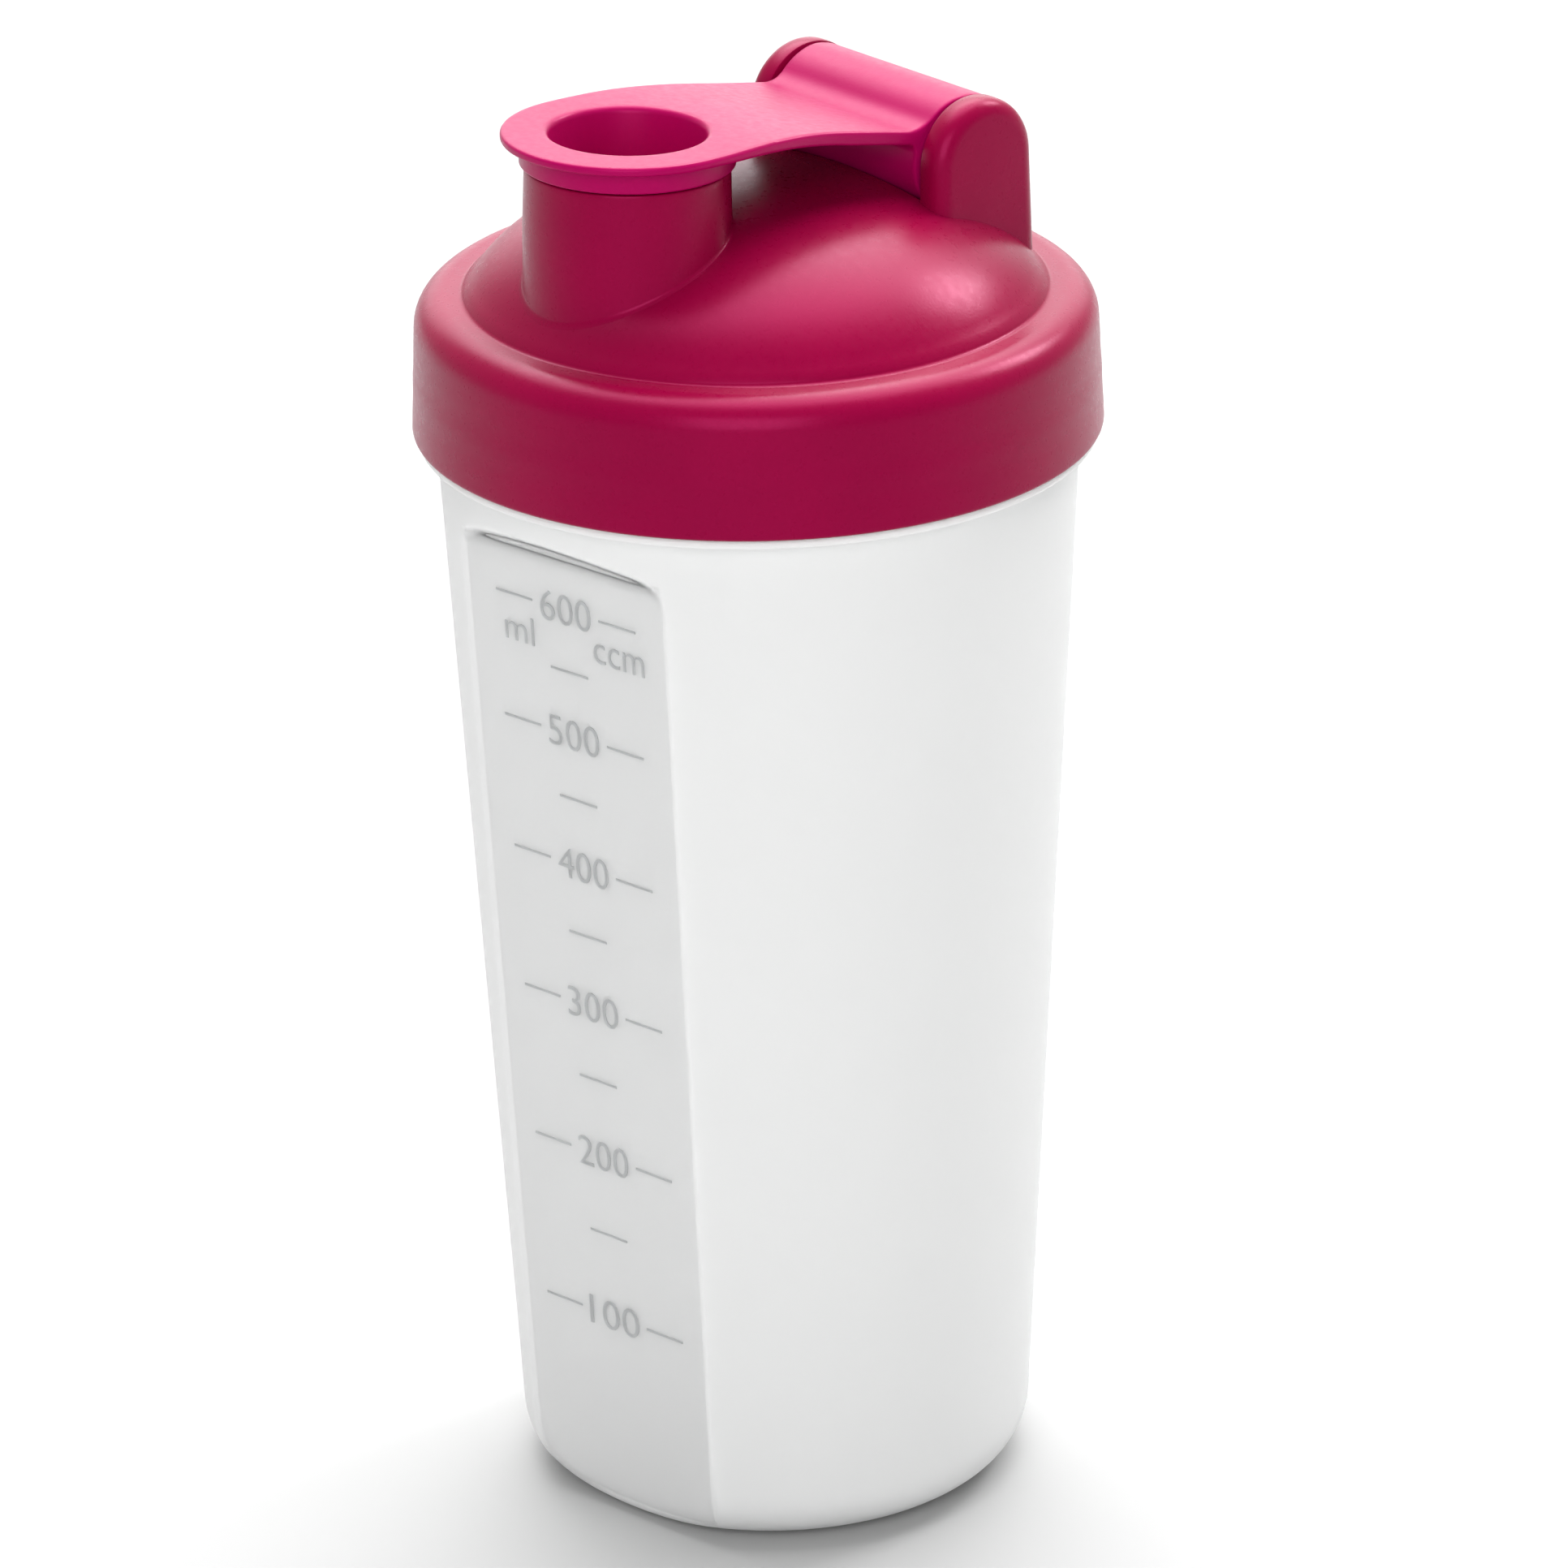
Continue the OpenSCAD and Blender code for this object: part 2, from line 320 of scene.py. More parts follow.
class NodeSheet:
    """A material's node tree, with short ways to add what these plastics need."""

    def __init__(self, name: str) -> None:
        """Starts a material with a plain Principled shader.

        Args:
            name: Name of the material.
        """
        self.material = bpy.data.materials.new(name)
        self.material.use_nodes = True
        self.tree = self.material.node_tree
        self.shader = self.tree.nodes["Principled BSDF"]
        self.place = self.tree.nodes.new("ShaderNodeTexCoord").outputs["Object"]

    def link(self, source: bpy.types.NodeSocket, target: bpy.types.NodeSocket) -> None:
        """Joins two sockets."""
        self.tree.links.new(source, target)

    def noise(
        self, scale: float, detail: float, stretch: tuple[float, float, float] = (1, 1, 1),
    ) -> bpy.types.NodeSocket:
        """Adds a noise pattern on object coordinates.

        Args:
            scale: Number of features in a metre.
            detail: Number of finer layers.
            stretch: Scale of the coordinates along each axis.

        Returns:
            The pattern's value, from 0 to 1.
        """
        mapping = self.tree.nodes.new("ShaderNodeMapping")
        mapping.inputs["Scale"].default_value = stretch
        self.link(self.place, mapping.inputs["Vector"])
        noise = self.tree.nodes.new("ShaderNodeTexNoise")
        noise.inputs["Scale"].default_value = scale
        noise.inputs["Detail"].default_value = detail
        self.link(mapping.outputs["Vector"], noise.inputs["Vector"])
        return noise.outputs["Fac"]

    def between(self, pattern: bpy.types.NodeSocket, low: float, high: float) -> bpy.types.NodeSocket:
        """Maps a pattern onto a range of values.

        Args:
            pattern: A noise value.
            low: Result where the pattern is low.
            high: Result where it is high.

        Returns:
            The mapped value.
        """
        spread = self.tree.nodes.new("ShaderNodeMapRange")
        spread.inputs["From Min"].default_value = 0.3
        spread.inputs["From Max"].default_value = 0.7
        spread.inputs["To Min"].default_value = low
        spread.inputs["To Max"].default_value = high
        self.link(pattern, spread.inputs["Value"])
        return spread.outputs["Result"]

    def tint(self, pattern: bpy.types.NodeSocket, first: Sequence[float], second: Sequence[float]) -> None:
        """Mixes two colours by a pattern into the base colour.

        Args:
            pattern: A noise value.
            first: Colour where it is low.
            second: Colour where it is high.
        """
        mix = self.tree.nodes.new("ShaderNodeMix")
        mix.data_type = "RGBA"
        self.link(self.between(pattern, 0.0, 1.0), mix.inputs["Factor"])
        mix.inputs["A"].default_value = (*first, 1.0)
        mix.inputs["B"].default_value = (*second, 1.0)
        self.link(mix.outputs["Result"], self.shader.inputs["Base Color"])

    def relief(self, layers: Sequence[tuple[bpy.types.NodeSocket, float]]) -> None:
        """Stacks bump layers.

        Args:
            layers: A pattern and its height in metres for each layer.
        """
        below = None
        for pattern, height in layers:
            bump = self.tree.nodes.new("ShaderNodeBump")
            bump.inputs["Strength"].default_value = 1.0
            bump.inputs["Distance"].default_value = height
            self.link(pattern, bump.inputs["Height"])
            if below is not None:
                self.link(below, bump.inputs["Normal"])
            below = bump.outputs["Normal"]
        self.link(below, self.shader.inputs["Normal"])

    def put(self, **values: float) -> None:
        """Sets shader sockets, named with underscores for spaces, to plain values."""
        for name, value in values.items():
            self.shader.inputs[name.replace("_", " ")].default_value = value


@dataclass(frozen=True)
class DyedPlastic:
    """Satin polypropylene dyed in the mass, with a fine spark-eroded grain.

    Colours are linear, noise scales are features in a metre and heights are metres.
    """

    name: str
    light: tuple[float, float, float]
    dark: tuple[float, float, float]
    rough_low: float = 0.26
    rough_high: float = 0.33
    grain: float = 2400.0
    grain_height: float = 0.012 * MM
    flow_height: float = 0.05 * MM
    glow: float = 0.03
    glow_reach: float = 0.6 * MM
    ior: float = 1.40
    sheen: tuple[float, float, float] = (1.0, 0.12, 0.40)

    def build(self) -> bpy.types.Material:
        """Makes the material.

        Returns:
            The material, with its cloudy colour, its grain and its slight glow.
        """
        sheet = NodeSheet(self.name)
        sheet.tint(sheet.noise(60, 3), self.dark, self.light)
        rough = sheet.between(sheet.noise(900, 4), self.rough_low, self.rough_high)
        sheet.link(rough, sheet.shader.inputs["Roughness"])
        flow = sheet.noise(55, 2, (1, 1, 2.5))
        sheet.relief([(flow, self.flow_height), (sheet.noise(self.grain, 3), self.grain_height)])
        sheet.put(IOR=self.ior, Subsurface_Weight=self.glow, Subsurface_Scale=self.glow_reach)
        sheet.shader.inputs["Subsurface Radius"].default_value = (1.0, 0.1, 0.35)
        sheet.shader.inputs["Specular Tint"].default_value = (*self.sheen, 1.0)
        return sheet.material


@dataclass(frozen=True)
class MilkyPlastic:
    """Natural translucent polypropylene, milky where it is frosted and clearer where polished.

    Colours are linear, noise scales are features in a metre and heights are metres.
    """

    name: str
    light: tuple[float, float, float]
    dark: tuple[float, float, float]
    rough_low: float
    rough_high: float
    through: float
    grain: float
    grain_height: float
    flow_height: float = 0.02 * MM
    cloud: float = 1.0
    cloud_reach: float = 5.0 * MM
    ior: float = 1.4

    def build(self) -> bpy.types.Material:
        """Makes the material.

        Returns:
            The material, with its cloudy body, its grain and what passes straight through.
        """
        sheet = NodeSheet(self.name)
        sheet.tint(sheet.noise(40, 3), self.dark, self.light)
        rough = sheet.between(sheet.noise(700, 4), self.rough_low, self.rough_high)
        sheet.link(rough, sheet.shader.inputs["Roughness"])
        flow = sheet.noise(30, 2, (1, 1, 0.4))
        sheet.relief([(flow, self.flow_height), (sheet.noise(self.grain, 3), self.grain_height)])
        sheet.put(IOR=self.ior, Transmission_Weight=self.through)
        sheet.put(Subsurface_Weight=self.cloud, Subsurface_Scale=self.cloud_reach)
        sheet.shader.inputs["Subsurface Radius"].default_value = (1.0, 1.0, 1.0)
        return sheet.material


LID_PINK = DyedPlastic("lid_plastic", light=(0.22, 0.0003, 0.031), dark=(0.20, 0.0003, 0.028))
# Same pink dye as the lid, made brighter and bluer: painted highlight that stands in for the light on the
# flip cap's top.
CAP_PINK_PAINTED_LIGHT = DyedPlastic(
    "cap_plastic", light=(0.32, 0.0006, 0.072), dark=(0.30, 0.0006, 0.066),
    rough_low=0.30, rough_high=0.38, ior=1.40,
)
FROSTED = MilkyPlastic(
    "frosted_wall", light=(0.88, 0.89, 0.885), dark=(0.87, 0.88, 0.875),
    rough_low=0.50, rough_high=0.60, through=0.15, grain=2000.0, grain_height=0.006 * MM,
)
CLEARER = MilkyPlastic(
    "panel_wall", light=(0.94, 0.965, 0.96), dark=(0.93, 0.955, 0.95),
    rough_low=0.36, rough_high=0.42, through=0.30, grain=900.0, grain_height=0.0003 * MM,
    flow_height=0.005 * MM,
)
SIEVE = MilkyPlastic(
    "sieve_plastic", light=(0.86, 0.87, 0.87), dark=(0.82, 0.83, 0.83),
    rough_low=0.38, rough_high=0.48, through=0.25, grain=1500.0, grain_height=0.010 * MM,
)
SEAL = MilkyPlastic(
    "seal_rubber", light=(0.84, 0.84, 0.84), dark=(0.80, 0.80, 0.80),
    rough_low=0.55, rough_high=0.65, through=0.10, grain=1800.0, grain_height=0.015 * MM,
)
MARKS = MilkyPlastic(
    "scale_marks", light=(0.80, 0.83, 0.84), dark=(0.77, 0.80, 0.81),
    rough_low=0.40, rough_high=0.50, through=0.20, grain=1500.0, grain_height=0.002 * MM,
)


# ------------------------------------------------------------------ cup


@dataclass
class Cup:
    """The frosted cup: a cone with a round foot, a flat scale panel, a bead and a threaded neck."""

    foot_r: float = 35.5
    shoulder_r: float = 44.35
    shoulder_z: float = 156.1
    height: float = 170.8
    wall: float = 1.7
    floor: float = 2.2
    foot_round: float = 9.8
    hollow_r: float = 19.7
    hollow: float = 1.1
    bead_r: float = 46.8
    bead_drop: float = 1.4
    bead_gap: float = 0.2
    bead_round: float = 0.45
    neck_r: float = 43.1
    neck_in_r: float = 41.3
    lip_round: float = 0.6
    panel_depth: float = 4.4
    panel_top: float = 147.3
    panel_turn: float = 6.5
    panel_corner: float = 4.6
    ledge_slope: float = 1.33
    ledge_round: float = 0.5
    edge_round: float = 0.25
    foot_blend: float = 0.28
    ring_gap: float = 2.6
    fine_gap: float = 0.35
    columns: int = 288
    panel_columns: int = 22
    thread: Thread = Thread()

    @property
    def panel_azimuth(self) -> float:
        """Direction in which the panel faces, in radians."""
        return math.radians(self.panel_turn - 90)

    @property
    def taper(self) -> float:
        """Growth of the radius with height."""
        return (self.shoulder_r - self.foot_r) / self.shoulder_z

    def cone(self, z: float) -> float:
        """Outer radius of the wall at a height."""
        return self.foot_r + self.taper * z

    def rings(self) -> list[float]:
        """Gives the heights of the wall's rings, close together at the panel's upper edge.

        Returns:
            The heights, from the foot's corner to just below the bead.
        """
        coarse = [self.foot_round + self.ring_gap * i for i in range(50)]
        fine_from = self.panel_top - 4.5
        fine = [fine_from + self.fine_gap * i for i in range(27)]
        return [z for z in coarse if z < fine_from - 1] + fine

    def corner(self, inset: float, low: float) -> Outline:
        """Gives the foot's rounded corner, set in from the outside by a wall.

        Args:
            inset: Distance from the outer face.
            low: Height of the corner's lowest point.

        Returns:
            The corner's points, from below upwards.
        """
        radius = self.foot_round - inset
        middle = (self.cone(self.foot_round) - inset - radius, low + radius)
        return arc(middle, radius, -90, -math.degrees(math.atan(self.taper)), 14)

    def outline(self) -> tuple[Outline, list[int]]:
        """Gives the closed section of the wall.

        Returns:
            The points, and a 1 for each that is on the inside.
        """
        bead_z = self.shoulder_z - self.bead_drop
        bead_top = self.shoulder_z - self.bead_gap
        bead = (self.bead_r - self.bead_round, self.bead_round)
        lip = self.lip_round
        outer = [(0.0, self.hollow), (self.hollow_r - 0.4, self.hollow), (self.hollow_r + 1.2, 0.0)]
        outer += self.corner(0.0, 0.0)
        outer += [(self.cone(z), z) for z in self.rings()[1:]]
        outer += [(self.cone(bead_z) - 0.02, bead_z - 0.25), (self.cone(bead_z) + 0.25, bead_z)]
        outer += arc((bead[0], bead_z + bead[1]), bead[1], -90, 0, 4)
        outer += arc((bead[0], bead_top - bead[1]), bead[1], 0, 90, 4)
        outer += [(self.neck_r, bead_top)]
        outer += arc((self.neck_r - lip, self.height - lip), lip, 0, 90, 4)
        inner = arc((self.neck_in_r + lip, self.height - lip), lip, 90, 180, 4)
        inner += [(self.neck_in_r, bead_top - 2)]
        inner += [(self.cone(z) - self.wall, z) for z in reversed(self.rings()[1:])]
        inner += list(reversed(self.corner(self.wall, self.floor))) + [(0.0, self.floor)]
        return outer + inner, [0] * len(outer) + [1] * len(inner)

    def edge_angle(self, z: float, inset: float) -> float:
        """Angle from the panel's middle to its side edge at a height."""
        radius = self.cone(z) - inset
        return math.acos((radius - self.panel_depth) / radius)

    def column_angle(self, angle: float, z: float, inset: float) -> float:
        """Moves a column so that one lies on the panel's edge, with others close by.

        Args:
            angle: The column's even angle from the panel's middle.
            z: Height.
            inset: Distance from the outer face.

        Returns:
            The column's new angle.
        """
        edge = self.edge_angle(z, inset)
        even = math.tau * self.panel_columns / self.columns
        share = abs(angle) / even
        if share > 2:
            moved = 2 * edge + (abs(angle) - 2 * even) * (math.pi - 2 * edge) / (math.pi - 2 * even)
        else:
            moved = edge * (share - 0.7 * math.sin(math.tau * share) / math.tau)
        return math.copysign(moved, angle)

    def panel_radius(self, angle: float, z: float, inset: float) -> float:
        """Gives the distance from the axis to the panel's face, ledge and rounded corners included.

        Args:
            angle: Angle from the panel's middle.
            z: Height.
            inset: Distance from the outer face.

        Returns:
            The distance along that angle.
        """
        flat = self.cone(z) - self.panel_depth - inset
        half = flat * math.tan(self.edge_angle(z, inset))
        beside = abs(flat * math.tan(angle)) - (half - self.panel_corner)
        above = z - (self.panel_top - inset - self.panel_corner)
        outside = math.hypot(max(beside, 0.0), max(above, 0.0)) + min(max(beside, above), 0.0)
        ledge = self.ledge_slope * soft_positive(outside - self.panel_corner, self.ledge_round)
        return (flat + ledge) / math.cos(angle)

    def shaped(self, bm: Mesh) -> Mesh:
        """Presses the flat panel into the spun wall.

        Args:
            bm: The spun wall, in millimetres.

        Returns:
            The same mesh.
        """
        side = bm.verts.layers.int["inside"]
        azimuth = self.panel_azimuth
        for vert in bm.verts:
            radius = math.hypot(vert.co.x, vert.co.y)
            if radius < 1.0 or vert.co.z > self.panel_top + 7:
                continue
            inset = self.wall if vert[side] else 0.0
            angle = math.remainder(math.atan2(vert.co.y, vert.co.x) - azimuth, math.tau)
            angle = self.column_angle(angle, vert.co.z, inset)
            if abs(angle) < 1.2:
                width = self.edge_round + self.foot_blend * max(0.0, self.foot_round + 2 - vert.co.z)
                radius = soft_min(radius, self.panel_radius(angle, vert.co.z, inset), width)
            vert.co.x = radius * math.cos(angle + azimuth)
            vert.co.y = radius * math.sin(angle + azimuth)
        return bm

    def polished(self, bm: Mesh) -> Mesh:
        """Gives the panel's faces the clearer finish, the second of the piece's two.

        Args:
            bm: The pressed wall.

        Returns:
            The same mesh.
        """
        azimuth = self.panel_azimuth
        for face in bm.faces:
            middle = face.calc_center_median()
            angle = math.remainder(math.atan2(middle.y, middle.x) - azimuth, math.tau)
            reach = self.edge_angle(middle.z, 0.0) - 0.02
            face.material_index = int(abs(angle) < reach and 3 < middle.z < self.panel_top + 0.4)
        return bm

    def build(self) -> bpy.types.Object:
        """Makes the cup with its thread ridge.

        Returns:
            The piece that stands for the cup.
        """
        outline, inside = self.outline()
        wall = self.polished(self.shaped(lathe(outline, self.columns, {"inside": inside})))
        ridge = self.thread.ridge(self.neck_r, 1, self.thread.neck_z)
        finishes = (FROSTED.build(), CLEARER.build())
        piece = Piece("cup_shell", "cup", "frosted_wall", finishes, stands_for=("cup",))
        return piece.make(joined([wall, ridge]))


@dataclass
class VolumeScale:
    """The raised marks on the panel: a line pair and a number at each 100 ml, a short line between."""

    cup: Cup
    step_ml: int = 50
    full_ml: int = 600
    digit_h: float = 4.5
    number_w: float = 9.4
    unit_drop: float = 4.9
    long_line_at: float = 9.6
    long_half: float = 3.4
    short_half: float = 3.5
    line_w: float = 0.34
    line_bevel: float = 0.08
    raise_by: float = 0.12
    thinner: float = 0.008
    first_z: float = 31.6
    calibre_r: float = 32.7
    calibre_taper: float = 0.066

    def height_of(self, volume: float) -> float:
        """Gives the height of the liquid in a cone with the cup's calibre.

        Args:
            volume: Volume in ml.

        Returns:
            The height in millimetres.
        """
        first = self.calibre_r + self.calibre_taper * self.first_z
        cubed = first**3 + 3 * self.calibre_taper * (volume - 100) * 1000 / math.pi
        return (cubed ** (1 / 3) - self.calibre_r) / self.calibre_taper

    def place(self, across: float, up: float, out: float, z: float) -> Vector:
        """Finds a point on the panel.

        Args:
            across: Distance from the panel's middle line.
            up: Distance above the height z.
            out: Distance out of the panel's face.
            z: Height of the mark's middle.

        Returns:
            The point in millimetres.
        """
        turn = self.cup.panel_azimuth
        level = z + up
        reach = self.cup.cone(level) - self.cup.panel_depth + out
        normal = Vector((math.cos(turn), math.sin(turn), 0.0))
        sideways = Vector((-math.sin(turn), math.cos(turn), 0.0))
        return normal * reach + sideways * across + Vector((0.0, 0.0, level))

    def line(self, middle: float, half: float, z: float) -> Mesh:
        """Makes one thin raised line across the panel.

        Args:
            middle: Distance of its middle from the panel's middle line.
            half: Half its length.
            z: Its height.

        Returns:
            A new mesh in millimetres.
        """
        bm = bmesh.new()
        bmesh.ops.create_cube(bm, size=1.0)
        bmesh.ops.scale(bm, vec=(2 * half, self.line_w, 2 * self.raise_by), verts=bm.verts)
        upper = [e for e in bm.edges if all(v.co.z > 0 for v in e.verts)]
        bmesh.ops.bevel(
            bm, geom=upper, offset=self.line_bevel, segments=2, affect="EDGES", profile=0.5, material=-1,
        )
        return move(bm, lambda co: self.place(middle + co.x, co.y, co.z, z))

    def words(self, text: str, size: float, width: float, middle: float, z: float) -> Mesh:
        """Digits or a unit, made a mesh and laid on the panel.

        Args:
            text: The characters.
            size: Their height.
            width: Width of the whole word.
            middle: Distance of their middle from the panel's middle line.
            z: Height of their middle.

        Returns:
            A new mesh in millimetres.
        """
        curve = bpy.data.curves.new("mark", "FONT")
        curve.body = text
        curve.align_x = "CENTER"
        curve.extrude = 0.5
        curve.offset = -self.thinner
        curve.resolution_u = 4
        item = bpy.data.objects.new("mark", curve)
        bpy.context.scene.collection.objects.link(item)
        bpy.context.view_layer.update()
        graph = bpy.context.evaluated_depsgraph_get()
        mesh = bpy.data.meshes.new_from_object(item.evaluated_get(graph))
        bm = bmesh.new()
        bm.from_mesh(mesh)
        bpy.data.meshes.remove(mesh)
        bpy.data.objects.remove(item)
        bpy.data.curves.remove(curve)
        bmesh.ops.remove_doubles(bm, verts=bm.verts, dist=1e-4)
        across = [v.co.x for v in bm.verts]
        upright = [v.co.y for v in bm.verts]
        stretch = width / (max(across) - min(across))
        rise = size / (max(upright) - min(upright))
        left = (max(across) + min(across)) / 2
        low = (max(upright) + min(upright)) / 2
        depth = 2 * self.raise_by
        return move(bm, lambda co: self.place(
            middle + (co.x - left) * stretch, (co.y - low) * rise, co.z * depth, z))

    def build(self) -> bpy.types.Object:
        """Makes all the marks as one piece.

        Returns:
            The piece.
        """
        marks = []
        for volume in range(100, self.full_ml + 1, self.step_ml):
            z = self.height_of(volume)
            if volume % 100:
                marks.append(self.line(0.0, self.short_half, z))
                continue
            marks += [self.line(side * self.long_line_at, self.long_half, z) for side in (-1, 1)]
            marks.append(self.words(str(volume), self.digit_h, self.number_w, 0.0, z))
        unit_z = self.height_of(self.full_ml) - self.unit_drop
        for unit, height, width, middle in (("ml", 4.0, 5.4, -9.0), ("ccm", 2.96, 9.3, 9.6)):
            marks.append(self.words(unit, height, width, middle, unit_z))
        return Piece("volume_scale", "cup", "frosted_wall", (MARKS.build(),)).make(joined(marks))


# ------------------------------------------------------------------ lid


@dataclass
class Spout:
    """Where the spout stands and how it leans, shared by the lid and the flip cap."""

    y: float = 22.1
    face_z: float = 203.0
    lean: float = 2.0
    radius: float = 14.0
    bore: float = 12.1
    rim_r: float = 13.15
    rim_drop: float = 1.5
    step_drop: float = 4.8

    def matrix(self) -> Matrix:
        """Turns and lifts a form from its own axis onto the spout."""
        lift = Matrix.Translation((0, -self.y, self.face_z))
        return lift @ Matrix.Rotation(math.radians(-self.lean), 4, "X")


@dataclass
class Hinge:
    """The hinge's axis and its round parts, shared by the lid and the flip cap."""

    y: float = 24.6
    z: float = 192.3
    barrel_r: float = 8.65
    gap: float = 0.55
    post_x: float = 16.2
    post_t: float = 4.2
    axle_r: float = 2.6

    @property
    def centre(self) -> tuple[float, float]:
        """The axis, as Y and Z."""
        return (self.y, self.z)


@dataclass
class ScrewLid:
    """The lid moulding: skirt, shoulder, dome, spout, hinge posts with stub axles, inner thread."""

    spout: Spout
    hinge: Hinge
    low_z: float = 156.1
    radius: float = 47.5
    wall: float = 1.8
    shoulder_h: float = 19.3
    corner: float = 4.5
    skirt_in: float = 45.3
    roof_z: float = 173.5
    groove_r: float = 39.4
    dome_a: float = 42.5
    dome_top: float = 190.3
    dome_base: float = 166.4
    dome_power: float = 2.5
    foot_fillet: float = 0.5
    edge: float = 0.5
    draft: float = 0.6
    post_round: float = 2.4
    post_sunk: float = 5.0
    axle_length: float = 3.0
    columns: int = 256
    thread: Thread = Thread()

    @property
    def dome_in(self) -> float:
        """Radius at which the dome's inner face meets the roof."""
        return self.groove_r - 2.2

    def dome(self, radius: float, inset: float = 0.0) -> float:
        """Gives the height of the dome.

        Args:
            radius: Distance from the axis.
            inset: Distance below the outer face.

        Returns:
            The height in millimetres.
        """
        share = min(1.0, radius / (self.dome_a - inset))
        top = self.dome_top - inset
        return self.dome_base + (top - self.dome_base) * math.sqrt(1 - share**self.dome_power)

    def skirt(self) -> Outline:
        """Gives the outside of the skirt, with faint ripples where the wall has shrunk.

        Returns:
            The points, from the rounded lower edge up to the shoulder's corner.
        """
        top = self.low_z + self.shoulder_h
        lower = arc((self.radius - self.edge, self.low_z + self.edge), self.edge, -90, 0, 4)
        upper = arc((self.radius - self.draft - self.corner, top - self.corner), self.corner, 0, 90, 12)
        rise = upper[0][1] - lower[-1][1]
        ripple = []
        for i in range(1, 24):
            share = i / 24
            wave = 0.035 * math.sin(math.tau * 2.5 * share) * math.sin(math.pi * share) ** 2
            ripple.append((self.radius - self.draft * share + wave, lower[-1][1] + rise * share))
        return lower + ripple + upper

    def shell(self) -> Mesh:
        """Spins the shell and cuts it for the spout's bore and the hinge barrel.

        Returns:
            A new mesh in millimetres.
        """
        top = self.low_z + self.shoulder_h
        radii = [self.groove_r - 0.5 - (self.groove_r - 0.5) * i / 46 for i in range(47)]
        inner = [self.dome_in * i / 30 for i in range(31)]
        groove = arc((self.groove_r + 1.35, top + 0.85), 0.85, -90, -168, 5)
        outline = [(self.skirt_in + 0.5, self.low_z), *self.skirt(), *groove]
        outline += [(r, self.dome(r)) for r in radii]
        outline += [(r, self.dome(r, self.wall)) for r in inner]
        outline += [(self.dome_in, self.roof_z), (self.skirt_in - 0.8, self.roof_z)]
        outline += [(self.skirt_in, self.roof_z - 0.8), (self.skirt_in, self.low_z + 0.5)]
        shell = lathe(outline, self.columns)
        hinge = self.hinge
        saddle = rod_x(hinge.barrel_r + hinge.gap + self.wall, hinge.post_x + 1, hinge.centre, 128)
        under = [(r, self.dome(r, 0.4)) for r in reversed(inner)]
        room = lathe([(0.0, self.roof_z), (self.dome_in, self.roof_z), *under], 128)
        shell = carve(shell, carve(saddle, room, Carve.KEEP), Carve.ADD)
        pocket = rod_x(hinge.barrel_r + hinge.gap, hinge.post_x + 0.2, hinge.centre, 128)
        shell = carve(shell, pocket, Carve.CUT)
        hole_r = self.spout.bore + 0.9
        bore = lathe([(0, -40), (hole_r, -40), (hole_r, 0), (0, 0)], 128)
        bore.transform(self.spout.matrix())
        return carve(shell, bore, Carve.CUT)

    def spout_tube(self) -> Mesh:
        """Makes the spout, with a stepped rim and a foot that flares onto the dome.

        The foot's rings are spun at depths that only say which ring they are. Each is then set on
        the dome's outer or inner face.

        Returns:
            A new mesh in millimetres.
        """
        spout = self.spout
        rim = -spout.rim_drop
        step = -spout.step_drop
        tube = [(spout.bore, -30.0), (spout.bore, rim - 0.5)]
        tube += arc((spout.bore + 0.5, rim - 0.5), 0.5, 180, 90, 4)[1:]
        tube += arc((spout.rim_r - 0.4, rim - 0.4), 0.4, 90, 0, 4)
        tube += [(spout.rim_r, step), *arc((spout.radius - 0.3, step - 0.3), 0.3, 90, 0, 3)]
        tube += [(spout.radius + 0.05 * i, step - 1.0 - 2.2 * i) for i in range(4)]
        hugs = [Hug.INNER] + [Hug.FREE] * (len(tube) - 1)
        flare = arc((self.foot_fillet, self.foot_fillet), self.foot_fillet, 180, 270, 6)
        flare.append((self.foot_fillet + 0.5, -0.5))
        tube += [(spout.radius + 0.2 + out, -40.0 - i) for i, (out, _) in enumerate(flare)]
        hugs += [Hug.OUTER] * len(flare)
        tube.append((spout.bore + 1.3, -60.0))
        hugs.append(Hug.INNER)
        bm = lathe(tube, 160, {"hug": [h.value for h in hugs]})
        layer = bm.verts.layers.int["hug"]
        lifts = [up for _, up in flare]
        turn = spout.matrix()
        for vert in bm.verts:
            hug = Hug(vert[layer])
            index = round(-40.0 - vert.co.z)
            if hug is Hug.OUTER:
                vert.co.z = -18.0
            elif hug is Hug.INNER:
                vert.co.z = -20.0
            vert.co = turn @ vert.co
            reach = math.hypot(vert.co.x, vert.co.y)
            if hug is Hug.OUTER:
                vert.co.z = self.dome(reach) + lifts[index]
            elif hug is Hug.INNER:
                vert.co.z = self.dome(reach, self.wall) - 0.6
        return bm

